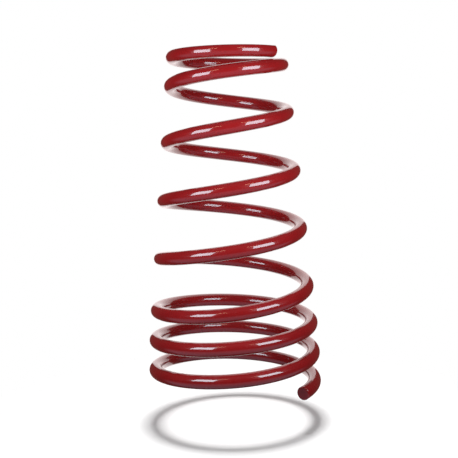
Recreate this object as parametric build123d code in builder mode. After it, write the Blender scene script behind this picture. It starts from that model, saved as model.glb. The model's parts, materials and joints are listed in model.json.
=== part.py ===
from build123d import *
import os
from math import cos, pi, sin

# Conical compression spring for a car's rear axle, in millimetres, +Z up.
# One round steel bar is wound right-handed in eight coils round the Z axis: a few close coils of
# full width at the foot, open coils that taper towards the top, and a closed top coil ground flat.
# The origin is the centre of the lower seat: on the axis, level with the lowest point of the bar.
#
# A coil spring works by twisting its bar, so the bar is made as quarter-turn lengths that meet
# face to face. Each cut is square to the bar, and a length turns on the next about the bar's line.
# A place on the bar is given in turns: whole numbers are at the front (-Y), a quarter is right (+X).

# Driving dimensions
wire_diameter = 12.0
coils = 8
first_turn = 0.155  # where the open tail ends, at front right
last_turn = 8.15  # where the ground tip ends, above the tail
seat_radius = 72.0  # mean radius of the coils at the foot
taper = 0.09  # loss of mean radius per unit of height, in the coned part
cone_start = 41.0  # height at which the cone meets the straight foot
cone_blend = 90.0  # height over which the one passes into the other

# Rise of the bar per turn, and where on the bar each rise passes into the next
tail_pitch = 12.5
close_pitch = 27.0
open_pitch = 52.0
end_pitch = 0.0
close_coils_from = 0.25
close_coils_blend = 0.6
open_coils_from = 2.97
open_coils_blend = 0.3
end_coil_from = 7.25
end_coil_blend = 2.08

# Ends
ground_above_centre = 4.0  # the flat top face, above the bar's centre in the end coil
straight_end = 2.5  # unbent length left by the crop at the foot
end_rounding = 1.0  # broken edge round each cut end

# Quarter-turn lengths
quarters = ["right", "back", "left", "front"]
first_cut = 1 / 8  # the quarters are centred on the four sides
points_per_length = 9
small_step = 1e-4


def blended_rise(place, middle, width):
    """Integral of a smooth step from 0 to 1 that is centred at middle and width wide."""
    share = (place - middle) / width + 0.5
    inside = min(max(share, 0.0), 1.0)
    return width * (inside**3 - inside**4 / 2 + max(share - 1, 0.0))


def climb(turn):
    """Height gained by the bar's centre line, from an arbitrary start."""
    gained = tail_pitch * turn
    gained += (close_pitch - tail_pitch) * blended_rise(turn, close_coils_from, close_coils_blend)
    gained += (open_pitch - close_pitch) * blended_rise(turn, open_coils_from, open_coils_blend)
    gained += (end_pitch - open_pitch) * blended_rise(turn, end_coil_from, end_coil_blend)
    return gained


# The straight end runs on down the bar's own slope, and is the lowest part of the bar
foot_slope = (climb(first_turn + small_step) - climb(first_turn)) / (2 * pi * small_step * seat_radius)
foot_height = wire_diameter / 2 + straight_end * foot_slope


def bar_height(turn):
    return foot_height + climb(turn) - climb(first_turn)


def bar_radius(turn):
    return seat_radius - taper * blended_rise(bar_height(turn), cone_start, cone_blend)


def bar_point(turn):
    """Centre of the bar at a place given in turns."""
    angle = 2 * pi * turn - pi / 2
    radius = bar_radius(turn)
    return Vector(radius * cos(angle), radius * sin(angle), bar_height(turn))


def bar_direction(turn):
    """Direction of the bar's centre line, towards the top."""
    return (bar_point(turn + small_step) - bar_point(turn - small_step)).normalized()


def places_between(start, end, count):
    return [start + (end - start) * n / (count - 1) for n in range(count)]


# Names and cuts, from the tail at the foot to the tip at the top
names = [f"coil_{coil}_{quarter}" for coil in range(1, coils + 1) for quarter in quarters]
names[0] = "coil_1_tail"
names[-1] = f"coil_{coils}_tip"
inner_cuts = [first_cut + n / len(quarters) for n in range(1, len(names))]
cuts = [first_turn, *inner_cuts, last_turn]

ground_face = Plane.XY.offset(bar_height(last_turn) + ground_above_centre)
ground_coil = names[-len(quarters):]

os.makedirs("parts", exist_ok=True)

for name, start, end in zip(names, cuts[:-1], cuts[1:]):
    with BuildPart() as length:
        with BuildLine():
            Spline(
                *[bar_point(turn) for turn in places_between(start, end, points_per_length)],
                tangents=[bar_direction(start), bar_direction(end)],
            )
        with BuildSketch(Plane(origin=bar_point(start), z_dir=bar_direction(start))):
            Circle(wire_diameter / 2)
        sweep()

        # The foot end is cropped square, and stays straight over the last of its length
        if start == first_turn:
            with BuildSketch(Plane(origin=bar_point(start), z_dir=-bar_direction(start))):
                Circle(wire_diameter / 2)
            extrude(amount=straight_end)
            end_centre = bar_point(start) - straight_end * bar_direction(start)
            cropped = length.faces().sort_by_distance(end_centre)[0]
            fillet(cropped.edges(), end_rounding)

        # The top coil is ground flat, square to the axis, and its tip is rounded off
        if name in ground_coil:
            split(bisect_by=ground_face, keep=Keep.BOTTOM)
        if end == last_turn:
            tip = length.faces().sort_by_distance(bar_point(end))[0]
            fillet(tip.edges(), end_rounding)

    length.part.label = name
    export_step(length.part, f"parts/{name}.step")
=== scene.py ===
import json
from math import cos, pi, sin

import bpy
from mathutils import Matrix, Vector


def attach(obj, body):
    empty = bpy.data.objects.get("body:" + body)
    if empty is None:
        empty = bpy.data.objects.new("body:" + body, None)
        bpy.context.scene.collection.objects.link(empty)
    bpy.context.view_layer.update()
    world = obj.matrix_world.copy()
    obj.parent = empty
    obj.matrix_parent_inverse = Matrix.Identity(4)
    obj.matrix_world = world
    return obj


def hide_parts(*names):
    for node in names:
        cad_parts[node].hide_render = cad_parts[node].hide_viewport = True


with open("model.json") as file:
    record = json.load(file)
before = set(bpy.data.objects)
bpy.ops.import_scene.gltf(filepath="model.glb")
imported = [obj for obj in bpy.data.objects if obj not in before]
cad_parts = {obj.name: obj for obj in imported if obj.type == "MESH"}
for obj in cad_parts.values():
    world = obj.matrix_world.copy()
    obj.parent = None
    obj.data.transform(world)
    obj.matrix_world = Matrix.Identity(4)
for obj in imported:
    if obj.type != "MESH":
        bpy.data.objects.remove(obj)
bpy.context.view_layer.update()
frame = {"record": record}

# ---------------------------------------------------------------- the bar, as in the CAD, in metres
# A place on the bar is given in turns: whole numbers are at the front (-Y), and a quarter more is
# at the right (+X).
BAR_RADIUS = 0.006
FIRST_TURN, LAST_TURN = 0.155, 8.15
SEAT_RADIUS = 0.072
TAPER, CONE_START, CONE_BLEND = 0.09, 0.041, 0.090
TAIL_PITCH = 0.0125
PITCH_CHANGES = [  # (middle in turns, width in turns, change of rise per turn)
    (0.25, 0.6, 0.0145),
    (2.97, 0.3, 0.025),
    (7.25, 2.08, -0.052),
]
STRAIGHT_END = 0.0025
RIM_ROUNDING = 0.001
GROUND_ABOVE_CENTRE = 0.004
GROUND_EDGE_SOFTNESS = 0.0005
STEP = 1e-4


def blended_rise(place, middle, width):
    """Integral of a smooth step from 0 to 1 that is centred at middle and width wide."""
    share = (place - middle) / width + 0.5
    inside = min(max(share, 0.0), 1.0)
    return width * (inside**3 - inside**4 / 2 + max(share - 1, 0.0))


def climb(turn):
    return TAIL_PITCH * turn + sum(c * blended_rise(turn, m, w) for m, w, c in PITCH_CHANGES)


FOOT_SLOPE = (climb(FIRST_TURN + STEP) - climb(FIRST_TURN)) / (2 * pi * STEP * SEAT_RADIUS)
FOOT_HEIGHT = BAR_RADIUS + STRAIGHT_END * FOOT_SLOPE


def bar_height(turn):
    return FOOT_HEIGHT + climb(turn) - climb(FIRST_TURN)


def bar_centre(turn):
    angle = 2 * pi * turn - pi / 2
    radius = SEAT_RADIUS - TAPER * blended_rise(bar_height(turn), CONE_START, CONE_BLEND)
    return Vector((radius * cos(angle), radius * sin(angle), bar_height(turn)))


def bar_axes(turn):
    """The bar's own direction, outward and upward axes."""
    along = (bar_centre(turn + STEP) - bar_centre(turn - STEP)).normalized()
    centre = bar_centre(turn)
    outward = Vector((centre.x, centre.y, 0))
    outward = (outward - outward.dot(along) * along).normalized()
    return along, outward, outward.cross(along)


GROUND_HEIGHT = bar_height(LAST_TURN) + GROUND_ABOVE_CENTRE

# ---------------------------------------------------------------- meshes of the lengths of bar
SIDES = 72
RINGS_PER_TURN = 160
RIM_RINGS = 6
DISC_RINGS = 5
NEAR_GROUND_FACE = 1.5  # turns from the tip within which the ground face can be met


def soft_minimum(value, limit, softness):
    near = max(softness - abs(value - limit), 0.0)
    return min(value, limit) - near * near / (4 * softness)


def ring(turn, inset=0.0, shrink=1.0, offset=0.0):
    """One ring of points round the bar, cut off at the ground face.

    inset draws the section in evenly, shrink scales it, and offset moves it along the bar.
    """
    along, outward, upward = bar_axes(turn)
    centre = bar_centre(turn) + offset * along
    ground = GROUND_HEIGHT - inset - centre.z
    points = []
    for n in range(SIDES):
        angle = 2 * pi * n / SIDES
        reach = BAR_RADIUS - inset
        spoke = reach * cos(angle) * outward + reach * sin(angle) * upward
        if turn > LAST_TURN - NEAR_GROUND_FACE:
            spoke.z = soft_minimum(spoke.z, ground, GROUND_EDGE_SOFTNESS)
        points.append(centre + shrink * spoke)
    return points


def cut_end_rings(turn, sense, straight):
    """Rings of a cut end, from the middle of its face out to the bar.

    sense is 1 at the tip and -1 at the tail, and straight is how far the end runs on past turn.
    """
    face = [
        ring(turn, RIM_ROUNDING, (n + 1) / (DISC_RINGS + 1), sense * straight)
        for n in range(DISC_RINGS)
    ]
    rim = []
    for n in range(RIM_RINGS + 1):
        angle = pi / 2 * n / RIM_RINGS
        inset = RIM_ROUNDING * (1 - sin(angle))
        back = RIM_ROUNDING * (1 - cos(angle))
        rim.append(ring(turn, inset, 1.0, sense * (straight - back)))
    return face + rim


def grid_normals(rings):
    """A normal for each point of every ring but the first and last."""
    found = []
    for before, here, after in zip(rings[:-2], rings[1:-1], rings[2:]):
        row = []
        for n in range(SIDES):
            round_bar = here[(n + 1) % SIDES] - here[n - 1]
            along_bar = after[n] - before[n]
            row.append(along_bar.cross(round_bar).normalized())
        found.append(row)
    return found


def length_of_bar(name, start, end, material):
    """A closed mesh of the bar from start to end, in turns, with the bar's true normals."""
    count = round((end - start) * RINGS_PER_TURN)
    # One ring more at either end, for the normals there
    turns = [start + (end - start) * n / count for n in range(-1, count + 2)]
    rings = [ring(turn) for turn in turns]
    if start == FIRST_TURN:
        first = cut_end_rings(start, -1, STRAIGHT_END)
        rings = [first[0]] + first + rings[1:]
    if end == LAST_TURN:
        last = cut_end_rings(end, 1, 0.0)[::-1]
        rings = rings[:-2] + last + [last[-1]]
    normals = grid_normals(rings)
    rings = rings[1:-1]

    verts = [point for row in rings for point in row]
    middle_first, middle_last = len(verts), len(verts) + 1
    verts += [sum(rings[0], Vector()) / SIDES, sum(rings[-1], Vector()) / SIDES]
    faces, corner_normals = [], []
    for k in range(len(rings) - 1):
        for n in range(SIDES):
            m = (n + 1) % SIDES
            corners = [(k, n), (k + 1, n), (k + 1, m), (k, m)]
            faces.append([row * SIDES + side for row, side in corners])
            corner_normals += [normals[row][side] for row, side in corners]
    into, out_of = -bar_axes(start)[0], bar_axes(end)[0]
    top = (len(rings) - 1) * SIDES
    for n in range(SIDES):
        m = (n + 1) % SIDES
        faces.append((middle_first, n, m))
        corner_normals += [into] * 3
        faces.append((middle_last, top + m, top + n))
        corner_normals += [out_of] * 3

    mesh = bpy.data.meshes.new(name)
    mesh.from_pydata(verts, [], faces)
    mesh.update()
    mesh.polygons.foreach_set("use_smooth", [True] * len(faces))
    mesh.normals_split_custom_set(corner_normals)
    mesh.materials.append(material)
    piece = bpy.data.objects.new(name, mesh)
    bpy.context.scene.collection.objects.link(piece)
    return piece


# ---------------------------------------------------------------- materials
class Nodes:
    """Short words for building the node tree of a material or world."""

    def __init__(self, owner):
        owner.use_nodes = True
        self.tree = owner.node_tree
        self.shader = self.tree.nodes.get("Principled BSDF")

    def add(self, kind, **inputs):
        node = self.tree.nodes.new(kind)
        for key, value in inputs.items():
            node.inputs[key.replace("_", " ")].default_value = value
        return node

    def link(self, source, target):
        self.tree.links.new(source, target)

    def give(self, value, socket):
        """Set a socket to a constant, or link another node's output to it."""
        if isinstance(value, (float, tuple)):
            socket.default_value = value
        else:
            self.link(value, socket)

    def noise(self, coordinates, scale, detail=2.0, roughness=0.5):
        node = self.add("ShaderNodeTexNoise", Scale=scale, Detail=detail, Roughness=roughness)
        self.link(coordinates, node.inputs["Vector"])
        return node.outputs["Fac"]

    def ramp(self, factor, stops):
        node = self.tree.nodes.new("ShaderNodeValToRGB")
        node.color_ramp.elements[0].position, node.color_ramp.elements[0].color = stops[0]
        node.color_ramp.elements[1].position, node.color_ramp.elements[1].color = stops[-1]
        for position, colour in stops[1:-1]:
            node.color_ramp.elements.new(position).color = colour
        self.link(factor, node.inputs["Fac"])
        return node.outputs["Color"]

    def span(self, factor, low, high, to_low, to_high):
        node = self.add("ShaderNodeMapRange")
        limits = {"From Min": low, "From Max": high, "To Min": to_low, "To Max": to_high}
        for key, value in limits.items():
            node.inputs[key].default_value = value
        self.link(factor, node.inputs["Value"])
        return node.outputs["Result"]

    def mix(self, factor, one, other):
        node = self.tree.nodes.new("ShaderNodeMix")
        node.data_type = "RGBA"
        # Sockets 0, 6 and 7, and output 2, are the ones of a mix of colours
        for value, socket in zip((factor, one, other), (0, 6, 7)):
            self.give(value, node.inputs[socket])
        return node.outputs[2]

    def maths(self, operation, *values):
        node = self.tree.nodes.new("ShaderNodeMath")
        node.operation = operation
        for value, socket in zip(values, node.inputs):
            self.give(value, socket)
        return node.outputs[0]

    def bump(self, height, distance, strength, before=None):
        node = self.add("ShaderNodeBump", Strength=strength, Distance=distance)
        self.link(height, node.inputs["Height"])
        if before is not None:
            self.link(before, node.inputs["Normal"])
        return node.outputs["Normal"]


# The red paint, with the scales of its textures in repeats per metre
DEEP_RED, BRIGHT_RED = (0.3, 0.008, 0.0085, 1), (0.34, 0.01, 0.011, 1)
DUST_PINK = (0.62, 0.16, 0.15, 1)
DRIFT_SCALE, CLOUD_SCALE, PEEL_SCALE = 28.0, 160.0, 330.0
DUST_SCALE, DUST_RARITY_SCALE = 420.0, 90.0
PEEL_HEIGHT, DUST_HEIGHT = 0.0001, 0.00012

# The paper under the spring, and the distances from its middle between which it fades out
PAPER_GREY, PAPER_WHITE = (0.9, 0.9, 0.9, 1), (0.93, 0.93, 0.93, 1)
PAPER_FADES_FROM, PAPER_ENDS_AT = 0.13, 0.26


def powder_coat():
    """Glossy red powder paint.

    It has a slow drift of colour, the faint orange peel of fused powder and a few specks of dust.
    """
    material = bpy.data.materials.new("red_powder_coat")
    n = Nodes(material)
    place = n.tree.nodes.new("ShaderNodeTexCoord").outputs["Object"]

    drift = n.noise(place, DRIFT_SCALE, 3.0)
    colour = n.ramp(drift, [(0.3, DEEP_RED), (0.7, BRIGHT_RED)])
    cells = n.add("ShaderNodeTexVoronoi", Scale=DUST_SCALE, Randomness=1.0)
    n.link(place, cells.inputs["Vector"])
    speck = n.span(cells.outputs["Distance"], 0.05, 0.09, 1.0, 0.0)
    few = n.span(n.noise(place, DUST_RARITY_SCALE, 1.0), 0.62, 0.66, 0.0, 0.7)
    dust = n.maths("MULTIPLY", speck, few)
    n.link(n.mix(dust, colour, DUST_PINK), n.shader.inputs["Base Color"])

    cloud = n.noise(place, CLOUD_SCALE, 3.0)
    n.link(n.span(cloud, 0.3, 0.7, 0.2, 0.3), n.shader.inputs["Roughness"])
    n.shader.inputs["Specular IOR Level"].default_value = 0.2
    n.shader.inputs["IOR"].default_value = 1.5
    n.shader.inputs["Coat Weight"].default_value = 1.0
    n.shader.inputs["Coat Roughness"].default_value = 0.03
    n.shader.inputs["Coat IOR"].default_value = 1.6

    wave = n.bump(n.noise(place, PEEL_SCALE, 2.0, 0.4), PEEL_HEIGHT, 0.05)
    n.link(n.bump(dust, DUST_HEIGHT, 0.3, wave), n.shader.inputs["Normal"])
    return material


def floor_paint():
    """Pale paper that fades out towards its edge."""
    material = bpy.data.materials.new("studio_floor")
    n = Nodes(material)
    place = n.tree.nodes.new("ShaderNodeTexCoord").outputs["Object"]
    tone = n.ramp(n.noise(place, 3.0, 3.0), [(0.3, PAPER_GREY), (0.7, PAPER_WHITE)])
    n.link(tone, n.shader.inputs["Base Color"])
    n.shader.inputs["Roughness"].default_value = 0.9
    n.shader.inputs["Specular IOR Level"].default_value = 0.1
    reach = n.tree.nodes.new("ShaderNodeVectorMath")
    reach.operation = "LENGTH"
    n.link(place, reach.inputs[0])
    fade = n.span(reach.outputs["Value"], PAPER_FADES_FROM, PAPER_ENDS_AT, 1.0, 0.0)
    n.link(fade, n.shader.inputs["Alpha"])
    return material


# ---------------------------------------------------------------- the spring
QUARTERS = ["right", "back", "left", "front"]
COILS = 8
FIRST_CUT = 1 / 8  # the quarters are centred on the four sides

coat = powder_coat()
bodies = frame["record"]["behaviour"]["bodies"]
body_of = {node: body for body, nodes in bodies.items() for node in nodes}
names = [f"coil_{coil}_{quarter}" for coil in range(1, COILS + 1) for quarter in QUARTERS]
names[0], names[-1] = "coil_1_tail", f"coil_{COILS}_tip"
inner_cuts = [FIRST_CUT + n / len(QUARTERS) for n in range(1, len(names))]
cuts = [FIRST_TURN, *inner_cuts, LAST_TURN]

bar_pieces = []
for node, start, end in zip(names, cuts[:-1], cuts[1:]):
    piece = length_of_bar(f"{node}_bar", start, end, coat)
    bar_pieces.append(piece)
    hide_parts(node)
    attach(piece, body_of[node])

# ---------------------------------------------------------------- the camera
EYE = Vector((-0.0009, -0.7788, 0.2344))
TILT_DOWN = 0.0598
ROLL = 0.027
FOCAL_PIXELS, FRAME_PIXELS = 864.35, 458
SENSOR_WIDTH = 36.0
LENS_SHIFT_UP = -0.1

camera_data = bpy.data.cameras.new("camera")
camera_data.sensor_width = SENSOR_WIDTH
camera_data.lens = SENSOR_WIDTH * FOCAL_PIXELS / FRAME_PIXELS
camera_data.shift_y = LENS_SHIFT_UP
camera = bpy.data.objects.new("camera", camera_data)
ahead = Vector((0, cos(TILT_DOWN), -sin(TILT_DOWN)))
level_up = Vector((0, sin(TILT_DOWN), cos(TILT_DOWN)))
level_right = Vector((1, 0, 0))
right = cos(ROLL) * level_right - sin(ROLL) * level_up
up = sin(ROLL) * level_right + cos(ROLL) * level_up
turned = Matrix((right, up, -ahead)).transposed()
camera.matrix_world = Matrix.LocRotScale(EYE, turned, Vector((1, 1, 1)))
bpy.context.scene.collection.objects.link(camera)
bpy.context.scene.camera = camera

# ---------------------------------------------------------------- the studio
FLOOR_DROP = 0.03
FLOOR_HALF = 0.3
WHITE, COOL, WARM = (1, 1, 1), (0.72, 0.9, 1.0), (1.0, 0.6, 0.4)
PAPER_FILL_TINT = (0.93, 1.0, 1.0)
SOFTBOX, RIM, SHEET, PAPER_LAMP, PAPER_FILL = 9.4, 14.0, 0.95, 47.0, 18.0  # radiances


def area_light(name, at, aim, size, radiance, colour):
    data = bpy.data.lights.new(name, "AREA")
    data.shape = "RECTANGLE"
    data.size, data.size_y = size
    data.energy = radiance * pi * size[0] * size[1]
    data.color = colour
    light = bpy.data.objects.new(name, data)
    light.location = at
    light.rotation_euler = (Vector(aim) - Vector(at)).to_track_quat("-Z", "Y").to_euler()
    light.visible_camera = False
    bpy.context.scene.collection.objects.link(light)
    return light


# The softboxes make the two cool streaks on each strand, the rims the thin orange marks, and the
# sheet behind the spring the bleached turning points
spring_lights = [
    area_light("softbox_left", (-0.285, -0.302, 0.29), (0, 0, 0.29), (0.225, 0.25), SOFTBOX, COOL),
    area_light("softbox_right", (0.27, -0.285, 0.29), (0, 0, 0.29), (0.22, 0.25), SOFTBOX, COOL),
    area_light("rim_left", (-0.17, -0.38, 0.5), (0, 0, 0.25), (0.12, 0.016), RIM, WARM),
    area_light("rim_right", (0.19, -0.368, 0.5), (0, 0, 0.25), (0.12, 0.016), RIM, WARM),
    area_light("white_sheet", (0, 0.2, 0.22), (0, 0, 0.22), (0.25, 0.7), SHEET, WHITE),
]
overhead, middle, lamp_size = (0, 0, 1.2), (0, 0, 0), (0.3, 0.3)
lamp = area_light("paper_lamp", overhead, middle, lamp_size, PAPER_LAMP, WHITE)
fill = area_light("paper_fill", overhead, middle, lamp_size, PAPER_FILL, PAPER_FILL_TINT)

floor_mesh = bpy.data.meshes.new("floor")
floor_mesh.from_pydata(
    [(x * FLOOR_HALF, y * FLOOR_HALF, 0) for x, y in ((-1, -1), (1, -1), (1, 1), (-1, 1))],
    [],
    [(0, 1, 2, 3)],
)
floor_mesh.materials.append(floor_paint())
floor = bpy.data.objects.new("floor", floor_mesh)
floor.location.z = -FLOOR_DROP
floor.visible_glossy = False
floor.visible_diffuse = False
bpy.context.scene.collection.objects.link(floor)


def group(name, members):
    collection = bpy.data.collections.new(name)
    for member in members:
        collection.objects.link(member)
    return collection


# The paper is lit from above by its own two lamps. The two lowest coils shade it from the lamp,
# and nothing shades it from the fill. The other lights reach the spring only.
paper_only = group("lit_by_paper_lamp", [floor])
lamp.light_linking.receiver_collection = paper_only
lamp.light_linking.blocker_collection = group("shades_paper", bar_pieces[: 2 * len(QUARTERS)])
fill.light_linking.receiver_collection = paper_only
fill.light_linking.blocker_collection = paper_only
spring_only = group("lit_by_softboxes", bar_pieces)
for light in spring_lights:
    light.light_linking.receiver_collection = spring_only

# The room seen in the paint: a pale table below and in front, a dim ceiling, a reddish far wall,
# and dark otherwise. The camera sees white paper.
DARK, CEILING = (0.02, 0.02, 0.02, 1), (0.11, 0.11, 0.12, 1)
TABLE, FAR_WALL = (0.33, 0.35, 0.44, 1), (0.17, 0.045, 0.04, 1)

world = bpy.data.worlds.new("studio")
bpy.context.scene.world = world
w = Nodes(world)
where = w.tree.nodes.new("ShaderNodeTexCoord").outputs["Generated"]
parts = w.tree.nodes.new("ShaderNodeSeparateXYZ")
w.link(where, parts.inputs[0])
depth, height = parts.outputs["Y"], parts.outputs["Z"]
below = w.span(height, -0.5, -0.15, 1.0, 0.0)
in_front = w.span(depth, 0.1, 0.4, 1.0, 0.0)
above = w.span(height, 0.6, 0.95, 0.0, 1.0)
behind = w.span(depth, 0.3, 0.7, 0.0, 1.0)
tone = w.mix(above, DARK, CEILING)
tone = w.mix(w.maths("MULTIPLY", below, in_front), tone, TABLE)
room = w.tree.nodes["Background"]
w.link(w.mix(behind, tone, FAR_WALL), room.inputs["Color"])
paper = w.tree.nodes.new("ShaderNodeBackground")
paper.inputs["Color"].default_value = (1, 1, 1, 1)
path = w.tree.nodes.new("ShaderNodeLightPath")
choice = w.tree.nodes.new("ShaderNodeMixShader")
w.link(path.outputs["Is Camera Ray"], choice.inputs[0])
w.link(room.outputs[0], choice.inputs[1])
w.link(paper.outputs[0], choice.inputs[2])
w.link(choice.outputs[0], w.tree.nodes["World Output"].inputs["Surface"])

bpy.context.scene.view_settings.view_transform = "Standard"
